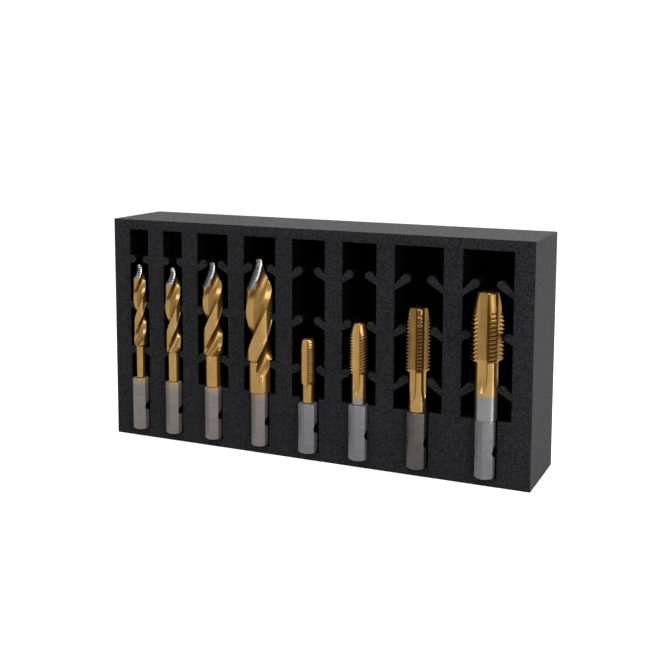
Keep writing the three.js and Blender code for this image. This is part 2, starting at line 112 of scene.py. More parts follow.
# Drills
DRILL_CORE_SHARE = 0.24
DRILL_FLUTE_SHARE = 0.54
RELIEF_SHARE = 0.955
MARGIN_ANGLE = math.radians(13)
MOST_MARGIN_SHARE = 0.5
MARGIN_EDGE_SHARE = 0.03
POINT_WIDTH_SHARE = 0.19
TIP_LENGTH = 0.3
TIP_FOOT_EXTRA = 0.15
TIP_TOP_LESS = 0.1
DRILL_WHEEL_RADIUS = 14
TWIST_PER_RING = math.radians(3)
POINT_RING = 0.13
DRILL_FLUTE_STEPS = 29
DRILL_LAND_STEPS = 12
SHADED_LAND_STEPS = 11
GROOVE_PITCH = 1.05
GROOVE_DEPTH = 0.8
GROOVE_LEAST_RADIUS = 0.7
GROOVE_SLOPE_SHARE = 0.55
GROOVE_FADE_RATE = 6
GROOVE_FADE_START = 0.3
GROOVES_BELOW_TIP = 0.5
GROOVE_TAG_MARGIN = 0.05
POINT_RELIEF = 0.06
POINT_RELIEF_RISE = 2
REAR_GROUND_SHARE = 0.3
GROUND_TAG_MARGIN = 0.01

# Taps
TAP_CORE_SHARE = 0.48
TAP_WHEEL_RADIUS = 28
TAP_FLUTE_STEPS = 17
TAP_LAND_STEPS = 9
THREAD_RUN_OUT = 1.2
THREAD_DEPTH_SHARE = 0.6134
END_BEVEL = 0.5
NECK_RING = 0.5

# Phases of one thread pitch, with how deep the thread is cut there
THREAD_SHAPE_SHARES = (
    (0.0, 0.0), (0.0625, 0.0), (0.125, 0.0), (0.28, 0.5),
    (0.4375, 1.0), (0.5625, 1.0), (0.6875, 1.0), (0.84, 0.5),
)

# Foam
FOAM_EDGE = 0.35
FOAM_EDGE_ANGLE = 35
SEAT_GAP = 0.6
SEAT_EASE = 1.2

# Distances in metres within which points are the same, or lie on the same plane
SAME_POINT = 1e-7
TOUCHING = 1e-6

DRILLS = {
    "drill_for_m8": dict(
        length=91.8, diameter=6.8, neck=4.5, neck_length=17.6, flute_length=45, lead=46,
        point=7.1, land_below_tip=30.5,
    ),
    "drill_for_m10": dict(
        length=91.3, diameter=8.3, neck=5.9, neck_length=16.1, flute_length=46.5, lead=55.5,
        point=8.6, land_below_tip=35.2,
    ),
    "drill_for_m12": dict(
        length=95.8, diameter=10.6, neck=8, neck_length=17, flute_length=50.6, lead=60,
        point=12.6, land_below_tip=36.1,
    ),
    "drill_for_m16": dict(
        length=99.3, diameter=14, neck=11.2, neck_length=16.6, flute_length=61.1, lead=85.5,
        point=15.7, land_below_tip=47.6,
    ),
}
TAPS = {
    "tap_m8": dict(
        shank=SHORT_SHANK_LENGTH, length=59.5, diameter=8, neck=5.9, thread=22.2, lead=4.5,
        lead_diameter=6.3, flute_length=28, flutes=3, flute_share=0.4, land_turn=55, pitch=1.25,
    ),
    "tap_m10": dict(
        shank=SHANK_LENGTH, length=70.4, diameter=10, neck=7.3, thread=24.8, lead=8,
        lead_diameter=6, flute_length=36.6, flutes=3, flute_share=0.5, land_turn=61, pitch=1.5,
    ),
    "tap_m12": dict(
        shank=SHANK_LENGTH, length=80.6, diameter=12, neck=8.3, thread=30.7, lead=9,
        lead_diameter=9.2, flute_length=46.8, flutes=4, flute_share=0.6, land_turn=27, pitch=1.75,
    ),
    "tap_m16": dict(
        shank=SHANK_LENGTH, length=91.1, diameter=16, neck=10.9, thread=32.6, lead=15,
        lead_diameter=10.4, flute_length=48.8, flutes=4, flute_share=0.62, land_turn=37, pitch=2,
    ),
}

# Looks: a pair of colors is the darkest and the lightest that a surface has
FOAM_SKIN = ((0.0012, 0.0012, 0.0015), (0.0235, 0.023, 0.0255))
# Painted shade: the cut foam inside the slots is coloured far darker than the skin
FOAM_CUT_PAINTED_SHADE = ((0.0005, 0.0005, 0.0006), (0.004, 0.004, 0.0044))
GOLD = ((0.26, 0.155, 0.049), (0.32, 0.2, 0.071))
# Painted shade: the drills' flutes are coloured darker than their lands, for the shade in the
# hollows
FLUTE_GOLD_PAINTED_SHADE = ((0.16, 0.085, 0.024), (0.21, 0.12, 0.038))
BARE_NECK = (0.165, 0.165, 0.168)
# Painted reflection: a gold tint at the top of the drills' shanks
GOLD_REFLECTION_STEEL = (0.25, 0.185, 0.1)
COAT_EDGE_TINT = (1, 0.72, 0.35, 1)
GROUND_STEEL = ((0.40, 0.40, 0.41), (0.58, 0.58, 0.59))
# Painted shade: the steep faces of the grooves on the drills' points are coloured near black
GROOVE_STEEL_PAINTED_SHADE = ((0.06, 0.06, 0.061), (0.11, 0.11, 0.112))
DRILL_STEEL = ((0.125, 0.106, 0.097), (0.175, 0.15, 0.138))
TAP_STEEL = ((0.1, 0.1, 0.104), (0.142, 0.142, 0.148))
BROWN_STEEL = ((0.05, 0.042, 0.039), (0.077, 0.065, 0.06))
# Painted shade: the faces inside the shanks' notches are coloured near black
NOTCH_STEEL_PAINTED_SHADE = ((0.008, 0.008, 0.009), (0.02, 0.02, 0.021))

# Painted shade: above their necks the three larger taps are coloured a darker gold, on the threads
# of all three and on the flutes of the two largest
FLUTE_GOLDS_PAINTED_SHADE = {
    "tap_m12": ((0.14, 0.074, 0.022), (0.19, 0.108, 0.034)),
    "tap_m16": ((0.17, 0.096, 0.028), (0.23, 0.136, 0.045)),
}
THREAD_GOLDS_PAINTED_SHADE = {
    "tap_m10": ((0.18, 0.105, 0.032), (0.24, 0.147, 0.05)),
    "tap_m12": ((0.095, 0.05, 0.014), (0.14, 0.078, 0.024)),
    "tap_m16": ((0.11, 0.061, 0.018), (0.16, 0.094, 0.03)),
}

# How fine the looks are, in cells, patches and grains to the metre
FOAM_CELLS = 2300
FOAM_GRAIN = 1000
COAT_PATCHES = 130
COAT_LINES = 900
STEEL_GRAIN = 700

# How densely the grain lies along X, Y and Z
ON_SHANK = (0.3, 0.3, 2)
ON_COAT = (1, 1, 3.5)
EVEN = (1, 1, 1)

# Heights in the frame, in millimetres. Two taps' necks are bare below BARE_BELOW, and the drills'
# shanks carry a painted golden reflection above the next height. The other two say how long the
# looks take to change.
BARE_BELOW = {"tap_m10": 36.8, "tap_m16": 46}
GOLD_REFLECTION_FROM = 29
COAT_FADE_HALF = 1.4
GOLD_REFLECTION_FADE = 4.5


# Materials

def material(name):
    made = bpy.data.materials.new(name)
    made.use_nodes = True
    nodes = made.node_tree.nodes
    return made, nodes, made.node_tree.links, nodes["Principled BSDF"]


def noise_node(nodes, links, place, scale, detail=4, roughness=0.55, stretch=EVEN):
    mapping = nodes.new("ShaderNodeMapping")
    mapping.inputs["Scale"].default_value = stretch
    links.new(place, mapping.inputs["Vector"])
    noise = nodes.new("ShaderNodeTexNoise")
    noise.inputs["Scale"].default_value = scale
    noise.inputs["Detail"].default_value = detail
    noise.inputs["Roughness"].default_value = roughness
    links.new(mapping.outputs["Vector"], noise.inputs["Vector"])
    return noise.outputs["Fac"]


def ramp_node(nodes, links, factor, stops):
    ramp = nodes.new("ShaderNodeValToRGB")
    elements = ramp.color_ramp.elements
    while len(elements) < len(stops):
        elements.new(0.5)
    for element, (position, color) in zip(elements, stops):
        element.position = position
        element.color = (*color, 1)
    links.new(factor, ramp.inputs["Fac"])
    return ramp.outputs["Color"]


def bump_node(nodes, links, height, strength, distance, normal=None):
    bump = nodes.new("ShaderNodeBump")
    bump.inputs["Strength"].default_value = strength
    bump.inputs["Distance"].default_value = distance
    links.new(height, bump.inputs["Height"])
    if normal is not None:
        links.new(normal, bump.inputs["Normal"])
    return bump.outputs["Normal"]


def height_fade(nodes, links, place, low, high):
    """0 below the height low and 1 above high, in millimetres of the frame."""
    height = nodes.new("ShaderNodeSeparateXYZ")
    links.new(place, height.inputs["Vector"])
    fade = nodes.new("ShaderNodeMapRange")
    fade.inputs["From Min"].default_value = low * MM
    fade.inputs["From Max"].default_value = high * MM
    links.new(height.outputs["Z"], fade.inputs["Value"])
    return fade.outputs["Result"]


def mixed(nodes, links, factor, first, second):
    mix = nodes.new("ShaderNodeMix")
    mix.data_type = "RGBA"
    links.new(factor, mix.inputs[0])
    for socket, color in ((6, first), (7, second)):
        if isinstance(color, tuple):
            mix.inputs[socket].default_value = (*color, 1)
        else:
            links.new(color, mix.inputs[socket])
    return mix.outputs[2]


def foam_material(name, dark, light, specular, sheen):
    """Closed-cell foam: each cell has its own tone, and the skin is pitted."""
    made, nodes, links, shader = material(name)
    place = nodes.new("ShaderNodeTexCoord").outputs["Object"]
    cells = nodes.new("ShaderNodeTexVoronoi")
    cells.inputs["Scale"].default_value = FOAM_CELLS
    links.new(place, cells.inputs["Vector"])
    tone = nodes.new("ShaderNodeSeparateColor")
    links.new(cells.outputs["Color"], tone.inputs["Color"])
    color = ramp_node(nodes, links, tone.outputs["Red"], [(0.1, dark), (0.9, light)])
    links.new(color, shader.inputs["Base Color"])
    grain = noise_node(nodes, links, place, FOAM_GRAIN, roughness=0.6)
    rough = bump_node(nodes, links, grain, strength=0.9, distance=0.0006)
    pits = cells.outputs["Distance"]
    pitted = bump_node(nodes, links, pits, strength=0.4, distance=0.0003, normal=rough)
    links.new(pitted, shader.inputs["Normal"])
    shader.inputs["Roughness"].default_value = 0.85
    shader.inputs["Specular IOR Level"].default_value = specular
    shader.inputs["Sheen Weight"].default_value = sheen
    shader.inputs["Sheen Roughness"].default_value = 0.35
    return made


def coat_material(name, dark, light, bare_below=None, roughness=0.23):
    """Nitride-coated steel. Below the height bare_below the coating fades out."""
    made, nodes, links, shader = material(name)
    place = nodes.new("ShaderNodeTexCoord").outputs["Object"]
    patches = noise_node(nodes, links, place, COAT_PATCHES)
    color = ramp_node(nodes, links, patches, [(0.3, dark), (0.7, light)])
    if bare_below is not None:
        low, high = bare_below - COAT_FADE_HALF, bare_below + COAT_FADE_HALF
        fade = height_fade(nodes, links, place, low, high)
        color = mixed(nodes, links, fade, BARE_NECK, color)
    links.new(color, shader.inputs["Base Color"])
    lines = noise_node(nodes, links, place, COAT_LINES, detail=2, stretch=ON_COAT)
    lined = bump_node(nodes, links, lines, strength=0.12, distance=0.0001)
    links.new(lined, shader.inputs["Normal"])
    shader.inputs["Metallic"].default_value = 0.85
    shader.inputs["Specular Tint"].default_value = COAT_EDGE_TINT
    shader.inputs["Roughness"].default_value = roughness
    return made


def steel_material(name, dark, light, roughness, stretch=EVEN, gold_reflection_from=None, metallic=1):
    """Bare ground steel. Above a given height a gold tint paints a golden reflection on it."""
    made, nodes, links, shader = material(name)
    place = nodes.new("ShaderNodeTexCoord").outputs["Object"]
    grain = noise_node(nodes, links, place, STEEL_GRAIN, stretch=stretch)
    color = ramp_node(nodes, links, grain, [(0.3, dark), (0.7, light)])
    if gold_reflection_from is not None:
        fade = height_fade(nodes, links, place, gold_reflection_from, gold_reflection_from + GOLD_REFLECTION_FADE)
        color = mixed(nodes, links, fade, color, GOLD_REFLECTION_STEEL)
    links.new(color, shader.inputs["Base Color"])
    grained = bump_node(nodes, links, grain, strength=0.15, distance=0.0001)
    links.new(grained, shader.inputs["Normal"])
    shader.inputs["Metallic"].default_value = metallic
    shader.inputs["Roughness"].default_value = roughness
    return made


# Meshes

def mesh_piece(name, verts, faces, materials, face_materials=None, angle=35):
    """A mesh piece whose edges sharper than angle stay crisp."""
    mesh = bpy.data.meshes.new(name)
    mesh.from_pydata(verts, [], faces)
    for each in materials:
        mesh.materials.append(each)
    if face_materials:
        mesh.polygons.foreach_set("material_index", face_materials)
    made = bpy.data.objects.new(name, mesh)
    bpy.context.scene.collection.objects.link(made)
    cleaned(made)
    smoothed(made, angle)
    return made


def cleaned(piece):
    shape = bmesh.new()
    shape.from_mesh(piece.data)
    bmesh.ops.remove_doubles(shape, verts=shape.verts, dist=SAME_POINT)
    bmesh.ops.dissolve_degenerate(shape, edges=shape.edges, dist=SAME_POINT)
    bmesh.ops.recalc_face_normals(shape, faces=shape.faces)
    shape.to_mesh(piece.data)
    shape.free()


def smoothed(piece, angle):
    mesh = piece.data
    mesh.shade_smooth()
    mesh.set_sharp_from_angle(angle=math.radians(angle))


def applied(piece):
    """Replaces the piece's mesh by what its modifiers make of it."""
    graph = bpy.context.evaluated_depsgraph_get()
    mesh = bpy.data.meshes.new_from_object(piece.evaluated_get(graph))
    piece.modifiers.clear()
    piece.data = mesh


def boolean(piece, other, operation):
    modifier = piece.modifiers.new(operation, "BOOLEAN")
    modifier.operation = operation
    modifier.solver = "EXACT"
    modifier.object = other
    applied(piece)
    bpy.data.objects.remove(other)


def polar(radius, angle, height):
    """A point at an angle from straight out of the tray, towards +X."""
    return (radius * math.sin(angle), -radius * math.cos(angle), height)


def placer(node):
    """Moves a point of a tool into the frame."""
    low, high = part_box(node)
    foam_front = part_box("foam_cut_layer")[0][1]
    middle = (low[0] + high[0]) / 2
    foot = Vector((middle + AXIS_ASIDE * MM, foam_front - AXIS_OUT * MM, low[2]))
    return lambda point: foot + Vector(point) * MM


def prism(name, outline, low, high, axis):
    """A solid of an outline of (x, z) or (x, y) points, from low to high along axis Y or Z."""
    def point(pair, along):
        return (pair[0], along, pair[1]) if axis == "Y" else (pair[0], pair[1], along)
    count = len(outline)
    verts = [point(pair, low) for pair in outline] + [point(pair, high) for pair in outline]
    faces = [list(range(count)), list(range(count, 2 * count))]
    for i in range(count):
        j = (i + 1) % count
        faces.append((i, j, j + count, i + count))
    return mesh_piece(name, verts, faces, [])


def turned(name, profile, steps):
    """A solid of (radius, height) points turned about Z, from the bottom up."""
    verts, faces = [], []
    for radius, height in profile:
        verts += [polar(radius, TURN * i / steps, height) for i in range(steps)]
    grid_faces(faces, 0, len(profile), steps)
    last = (len(profile) - 1) * steps
    faces += [tuple(range(steps)), tuple(range(last, last + steps))]
    return mesh_piece(name, verts, faces, [])


def grid_faces(faces, base, rows, columns):
    """The faces of a closed tube of rows, each of the same number of points."""
    for row in range(rows - 1):
        for i in range(columns):
            a, b = base + row * columns + i, base + row * columns + (i + 1) % columns
            faces.append((a, b, b + columns, a + columns))


def capped(verts, faces, ring, columns, point):
    """Closes the ring that starts at the vertex ring by a fan round a point."""
    middle = len(verts)
    verts.append(point)
    faces += [(middle, ring + i, ring + (i + 1) % columns) for i in range(columns)]


def in_notch(face):
    """Whether a face of an upright shank belongs to a notch, and not to a side or an end."""
    near = abs(face.center.z - NOTCH_HEIGHT) < NOTCH_REACH
    return near and abs(face.normal.z) > LEAST_NOTCH_SLOPE


def shank(node, across_flats, length, neck, notch_sides, notch_radius, steels):
    """The hexagonal quick-change shank: chamfered ends, and notches for the chuck's latch."""
    corner = across_flats / math.sqrt(3)
    outline = [polar(corner, TURN * i / 6, 0)[:2] for i in range(6)]
    made = prism(node + "_shank", outline, 0, length, "Z")
    slope = math.sqrt(3)
    end, clear = corner - SHANK_CHAMFER * slope, corner + SHANK_CHAMFER * slope
    rise = 2 * SHANK_CHAMFER
    top = min(max(neck / 2, end), clear)
    profile = [(end, 0), (clear, rise), (clear, length - rise), (top, length)]
    boolean(made, turned("envelope", profile, ENVELOPE_STEPS), "INTERSECT")
    for side in notch_sides:
        ring = [polar(notch_radius, TURN * i / NOTCH_STEPS, 0) for i in range(NOTCH_STEPS)]
        ring = [(side * corner + x, NOTCH_HEIGHT + y) for x, y, _ in ring]
        notch = prism("notch", ring, -across_flats, across_flats, "Y")
        notch.data.transform(Matrix.Rotation(side * TURN / 12, 4, "Z"))
        boolean(made, notch, "DIFFERENCE")
    made.data.materials.clear()
    for each in steels:
        made.data.materials.append(each)
    # Faces in a notch take the near-black steel, which paints the shade inside the notch
    for face in made.data.polygons:
        face.material_index = 1 if in_notch(face) else 0
    move = placer(node)
    for vertex in made.data.vertices:
        vertex.co = move(vertex.co)
    bevel = made.modifiers.new("edges", "BEVEL")
    bevel.width = SHANK_EDGE * MM
    bevel.segments = 2
    bevel.limit_method = "ANGLE"
    bevel.angle_limit = math.radians(25)
    applied(made)
    smoothed(made, 30)
    return made


# Fluted bodies

def radius_at(profile, height):
    for (low, before), (high, after) in zip(profile, profile[1:]):
        if height <= high:
            return before + (after - before) * max(height - low, 0) / (high - low)
    return profile[-1][1]


def lift(height, start, wheel_radius):
    """How far the grinding wheel has lifted out of a flute towards the end of its run."""
    drop = min(max(start - height, 0), wheel_radius)
    return wheel_radius - math.sqrt(wheel_radius ** 2 - drop ** 2)


def run_out_start(end, neck_radius, core, wheel_radius):
    rise = neck_radius - core
    return end + math.sqrt(max(2 * wheel_radius * rise - rise ** 2, 0))


def flute_arc(radius, core, half):
    """The round section of a flute: its radius, and its middle's distance from the axis."""
    rise = radius * math.cos(half) - core
    chord = radius * math.sin(half)
    arc_radius = (chord ** 2 + rise ** 2) / (2 * rise)
    return arc_radius, core + arc_radius


def edge_angle(arc_radius, distance, radius):
    """The half angle at which a flute's round section comes out through a radius."""
    cosine = (distance ** 2 + radius ** 2 - arc_radius ** 2) / (2 * distance * radius)
    return math.acos(min(max(cosine, -1), 1))


def arc_depth(arc_radius, distance, angle):
    aside = distance * math.sin(angle)
    return distance * math.cos(angle) - math.sqrt(max(arc_radius ** 2 - aside ** 2, 0))


def evenly(low, high, step):
    count = max(math.ceil((high - low) / step), 1)
    return [low + (high - low) * (i + 1) / count for i in range(count)]


def ordered(heights):
    kept = []
    for height in sorted(heights):
        if not kept or height - kept[-1] > LEAST_RING_GAP:
            kept.append(height)
    return kept


def groove_phase(body, height, k):
    return ((height - body["ground_starts"][k]) / GROOVE_PITCH) % 1


def point_groove(body, height, share, k):
    """Saw-like grooves ground across the point's land. They run out towards the cutting edge."""
    if height < body["ground_starts"][k] or height > body["length"] - GROOVES_BELOW_TIP:
        return 0
    phase = groove_phase(body, height, k)
    wave = min(phase / GROOVE_SLOPE_SHARE, (1 - phase) / (1 - GROOVE_SLOPE_SHARE))
    deepest = max(radius_at(body["profile"], height) - GROOVE_LEAST_RADIUS, 0)
    fade = min(max(share * GROOVE_FADE_RATE - GROOVE_FADE_START, 0), 1)
    return min(GROOVE_DEPTH, deepest) * wave * fade


def drill_ring(body, height, turn):
    """One ring: for each flute its points from the cutting edge to the heel, then its land."""
    outer = radius_at(body["profile"], height)
    away = body["distance"] + lift(height, body["start"], DRILL_WHEEL_RADIUS)
    on_point = min(max(height - body["point_start"], 0) / POINT_RELIEF_RISE, 1)
    heel = min(outer, body["relieved"]) * (1 - POINT_RELIEF * on_point)
    limits = (outer, heel)
    least = body["half"] * LEAST_FLUTE_SHARE
    halves = [max(edge_angle(body["arc"], away, limit), least) for limit in limits]
    ring = []
    for k in range(2):
        middle = turn + (k + 0.5) * TURN / 2
        for i in range(DRILL_FLUTE_STEPS):
            across = -math.cos(math.pi * i / (DRILL_FLUTE_STEPS - 1))
            side = 0 if across < 0 else 1
            angle = across * halves[side]
            groove = point_groove(body, height, side, k)
            radius = min(arc_depth(body["arc"], away, angle), limits[side] - groove)
            ring.append(polar(radius, middle + angle, height))
        land_start = middle + halves[1]
        land_end = middle + TURN / 2 - halves[0]
        margin = 1 - min(MARGIN_ANGLE / (land_end - land_start), MOST_MARGIN_SHARE)
        last = margin - MARGIN_EDGE_SHARE
        shares = [(i / DRILL_LAND_STEPS) * last for i in range(1, DRILL_LAND_STEPS + 1)]
        for share in [*shares, margin, (1 + margin) / 2]:
            climb = on_point * share / margin
            radius = outer if share >= margin else heel + (outer - heel) * climb
            radius -= point_groove(body, height, 1 - share, k)
            ring.append(polar(radius, land_start + (land_end - land_start) * share, height))
    return ring


def drill_body(node, drill, coats):
    """A drill above its shank, in the looks of its lands, its point, its flutes and its grooves.
    The darker flutes and the near-black steep faces of the grooves are painted shade.
    """
    radius, neck = drill["diameter"] / 2, drill["neck"] / 2
    length, point_start = drill["length"], drill["length"] - drill["point"]
    neck_end = SHANK_LENGTH + drill["neck_length"]
    profile = [
        (SHANK_LENGTH - OVERLAP, min(neck, DRILL_HEX / 2) - OVERLAP),
        (SHANK_LENGTH, neck - OVERLAP),
        (SHANK_LENGTH + OVERLAP, neck),
        (neck_end, neck),
        (neck_end + radius - neck, radius),
        (point_start, radius),
        (length - TIP_LENGTH, radius * POINT_WIDTH_SHARE + TIP_FOOT_EXTRA),
        (length, radius * POINT_WIDTH_SHARE - TIP_TOP_LESS),
    ]
    core = radius * DRILL_CORE_SHARE
    half = DRILL_FLUTE_SHARE * TURN / 4
    flute_end = length - drill["flute_length"]
    start = run_out_start(flute_end, neck, core, DRILL_WHEEL_RADIUS)
    arc, distance = flute_arc(radius, core, half)
    body = dict(
        profile=profile, start=start, half=half, arc=arc, distance=distance,
        relieved=radius * RELIEF_SHARE, point_start=point_start, length=length,
        ground_starts=(point_start, point_start + drill["point"] * REAR_GROUND_SHARE),
    )
    lead = drill["lead"]
    land_height = length - drill["land_below_tip"]
    step = lead * TWIST_PER_RING / TURN
    heights = ordered(
        [height for height, _ in profile] + [flute_end]
        + evenly(flute_end, start, step / 2) + evenly(start, point_start, step)
        + evenly(point_start, length, POINT_RING)
    )
    move = placer(node)
    verts, faces, tags = [], [], []
    for height in heights:
        ring = drill_ring(body, height, (max(height, flute_end) - land_height) * TURN / lead)
        verts += [move(point) for point in ring]
    count = len(ring)
    grid_faces(faces, 0, len(heights), count)
    for row in range(len(heights) - 1):
        for i in range(count):
            k, across = i // (count // 2), i % (count // 2) - DRILL_FLUTE_STEPS + 1
            fluted = across < 0 and heights[row] > flute_end
            ground_start = body["ground_starts"][k] - GROUND_TAG_MARGIN
            on_point = across >= 0 and heights[row] >= ground_start
            # The steep face of each groove takes the near-black steel, which is painted shade
            phase = groove_phase(body, heights[row], k)
            steep = phase > GROOVE_SLOPE_SHARE - GROOVE_TAG_MARGIN
            shaded = on_point and steep and across < SHADED_LAND_STEPS
            tags.append(2 if fluted else 3 if shaded else 1 if on_point else 0)
    top = (len(heights) - 1) * count
    capped(verts, faces, 0, count, move((0, 0, heights[0])))
    capped(verts, faces, top, count, move((0, 0, heights[-1])))
    tags += [0] * count + [1] * count
    return mesh_piece(node + "_body", verts, faces, coats, tags, angle=32)


def thread_depth(phase):
    shape = THREAD_SHAPE_SHARES + ((1.0, 0.0),)
    for (low, before), (high, after) in zip(shape, shape[1:]):
        if phase <= high:
            return before + (after - before) * (phase - low) / (high - low)
    return 0


def tap_columns(flutes):
    """For each column of the tap's grid its flute, and its place across the flute or the land."""
    columns = []
    for k in range(flutes):
        for i in range(TAP_FLUTE_STEPS):
            columns.append((k, True, -math.cos(math.pi * i / (TAP_FLUTE_STEPS - 1))))
        columns += [(k, False, i / TAP_LAND_STEPS) for i in range(1, TAP_LAND_STEPS)]
    return columns


def tap_body(node, tap, coats):
    """A tap above its shank, in the coats of its neck, its flutes and its thread."""
    radius, neck = tap["diameter"] / 2, tap["neck"] / 2
    length, lead_radius = tap["length"], tap["lead_diameter"] / 2
    thread_start = length - tap["thread"]
    profile = [
        (tap["shank"] - OVERLAP, neck - OVERLAP),
        (tap["shank"], neck - OVERLAP),
        (tap["shank"] + OVERLAP, neck),
        (thread_start - THREAD_RUN_OUT, neck),
        (thread_start, radius),
        (length - tap["lead"], radius),
        (length - END_BEVEL, lead_radius),
        (length, lead_radius - END_BEVEL),
    ]
    core = radius * TAP_CORE_SHARE
    spacing = TURN / tap["flutes"]
    full_half = tap["flute_share"] * spacing / 2
    flute_end = length - tap["flute_length"]
    start = run_out_start(flute_end, neck, core, TAP_WHEEL_RADIUS)
    arc, distance = flute_arc(radius, core, full_half)
    pitch, depth = tap["pitch"], tap["pitch"] * THREAD_DEPTH_SHARE
    columns = tap_columns(tap["flutes"])
    move = placer(node)

    def angle_of(column, half):
        k, in_flute, share = column
        middle = math.radians(tap["land_turn"]) + (k + 0.5) * spacing
        if in_flute:
            return middle + share * half
        return middle + half + share * (spacing - 2 * half)

    first = angle_of(columns[0], full_half)

    def point(column, height, phase=None):
        outer = radius_at(profile, height)
        away = distance + lift(height, start, TAP_WHEEL_RADIUS)
        half = max(edge_angle(arc, away, outer), full_half * LEAST_FLUTE_SHARE)
        reach = outer
        if column[1]:
            reach = min(arc_depth(arc, away, column[2] * half), outer)
        if phase is not None:
            reach = min(reach, radius - depth * thread_depth(phase))
        return move(polar(reach, angle_of(column, half), height))

    low_heights = [height for height, _ in profile if height <= thread_start]
    low_heights = ordered(low_heights + [flute_end] + evenly(flute_end, thread_start, NECK_RING))
    verts = [point(column, height) for height in low_heights for column in columns]
    shares = [share for share, _ in THREAD_SHAPE_SHARES]
    cycles = math.ceil(tap["thread"] / pitch) + 1
    rows = [(cycle + share) * pitch for cycle in range(-1, cycles) for share in shares]
    base, count = len(verts), len(columns)
    for row in rows:
        for column in columns:
            turn_share = (angle_of(column, full_half) - first) / TURN
            height = min(max(thread_start + row + pitch * turn_share, thread_start), length)
            phase = ((height - thread_start) / pitch - turn_share) % 1
            verts.append(point(column, height, phase))
    threaded = [
        1 if column[1] and after[1] else 2
        for column, after in zip(columns, columns[1:] + columns[:1])
    ]
    faces, tags = [], [0] * (count * len(low_heights))
    grid_faces(faces, 0, len(low_heights) + 1, count)
    last = len(rows) - 1
    for row in range(last):
        for i in range(count - 1):
            a = base + row * count + i
            faces.append((a, a + 1, a + 1 + count, a + count))
        seam = [base + min(row + len(shares) + k, last) * count for k in (0, 1)]
        a = base + row * count + count - 1
        faces.append((a, seam[0], seam[1], a + count))
        tags += threaded
    capped(verts, faces, 0, count, move((0, 0, low_heights[0])))
    capped(verts, faces, base + last * count, count, move((0, 0, length)))
    tags += [0] * count + [2] * count
    return mesh_piece(node + "_body", verts, faces, coats, tags, angle=28)


# Foam

def eased_seats(shape, face):
    """Moves the right front edge of each shank's seat out, for the dark gap in the photograph."""
    for node in [*DRILLS, *TAPS]:
        side = (DRILL_HEX if node in DRILLS else TAP_HEX) / 2
        foot = placer(node)((side, 0, 0))
        for vertex in shape.verts:
            beside = 0 < vertex.co.x - foot.x < SEAT_GAP * MM
            on_face = abs(vertex.co.y - face) < TOUCHING
            if beside and on_face and vertex.co.z < foot.z + SHANK_LENGTH * MM:
                vertex.co.x += SEAT_EASE * MM


def foam_piece(node, skin, cut):
    """The foam node's own shape, with soft edges. Faces inside its outer box are cut foam, coloured
    far darker as painted shade inside the slots.
    """
    rim = 2 * FOAM_EDGE * MM
    piece = bpy.data.objects.new(node + "_skin", frame["nodes"][node].data.copy())
    bpy.context.scene.collection.objects.link(piece)
    low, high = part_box(node)
    back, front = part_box("foam_cut_layer")[1][1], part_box("foam_base_layer")[0][1]
    shape = bmesh.new()
    shape.from_mesh(piece.data)
    bmesh.ops.remove_doubles(shape, verts=shape.verts, dist=TOUCHING)
    bmesh.ops.dissolve_limit(
        shape, angle_limit=math.radians(1), verts=shape.verts, edges=shape.edges
    )
    eased_seats(shape, low[1])
    edges = []
    for edge in shape.edges:
        at_glue = all(min(abs(v.co.y - y) for y in (back, front)) < TOUCHING for v in edge.verts)
        if not edge.is_manifold or at_glue:
            continue
        if edge.calc_face_angle() > math.radians(FOAM_EDGE_ANGLE):
            edges.append(edge)
    bmesh.ops.bevel(
        shape, geom=edges, offset=FOAM_EDGE * MM, segments=2, profile=0.5, affect="EDGES",
        clamp_overlap=True,
    )
    for vertex in shape.verts:
        if abs(vertex.co.y - front) < TOUCHING:
            vertex.co.y = back
    for face in shape.faces:
        middle = face.calc_center_median()
        inner = node == "foam_base_layer" and abs(middle.y - back) < rim
        outside = not inner and any(
            min(middle[k] - low[k], high[k] - middle[k]) < rim for k in range(3)
        )
        face.material_index = 0 if outside else 1
    piece.data.materials.clear()
    for each in (skin, cut):
        piece.data.materials.append(each)
    shape.to_mesh(piece.data)
    shape.free()
    smoothed(piece, 25)
    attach(piece, "tray")
    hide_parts(node)


# Stage, light and camera

def seen_share(nodes, links):
    """1 for the rays that show the background: to the camera, in gloss and through glass."""
    path = nodes.new("ShaderNodeLightPath")
    total = path.outputs["Is Camera Ray"]
    for ray in ("Is Glossy Ray", "Is Transmission Ray"):
        either = nodes.new("ShaderNodeMath")
        either.operation = "MAXIMUM"
        links.new(total, either.inputs[0])
        links.new(path.outputs[ray], either.inputs[1])
        total = either.outputs[0]
    return total


def floor():
    size = FLOOR_HALF_SIZE
    verts = [(-size, -size, 0), (size, -size, 0), (size, size, 0), (-size, size, 0)]
    mesh = bpy.data.meshes.new("floor")
    mesh.from_pydata(verts, [], [(0, 1, 2, 3)])
    made = bpy.data.objects.new("floor", mesh)
    bpy.context.scene.collection.objects.link(made)
    paint, nodes, links, shader = material("floor")
    shader.inputs["Base Color"].default_value = FLOOR_TONE
    shader.inputs["Roughness"].default_value = 1
    shader.inputs["Specular IOR Level"].default_value = 0
    glow = nodes.new("ShaderNodeEmission")
    glow.inputs["Strength"].default_value = FLOOR_GLOW
    lit = nodes.new("ShaderNodeAddShader")
    links.new(shader.outputs[0], lit.inputs[0])
    links.new(glow.outputs[0], lit.inputs[1])
    mix = nodes.new("ShaderNodeMixShader")
    links.new(seen_share(nodes, links), mix.inputs["Fac"])
    links.new(shader.outputs[0], mix.inputs[1])
    links.new(lit.outputs[0], mix.inputs[2])
    links.new(mix.outputs[0], nodes["Material Output"].inputs["Surface"])
    mesh.materials.append(paint)


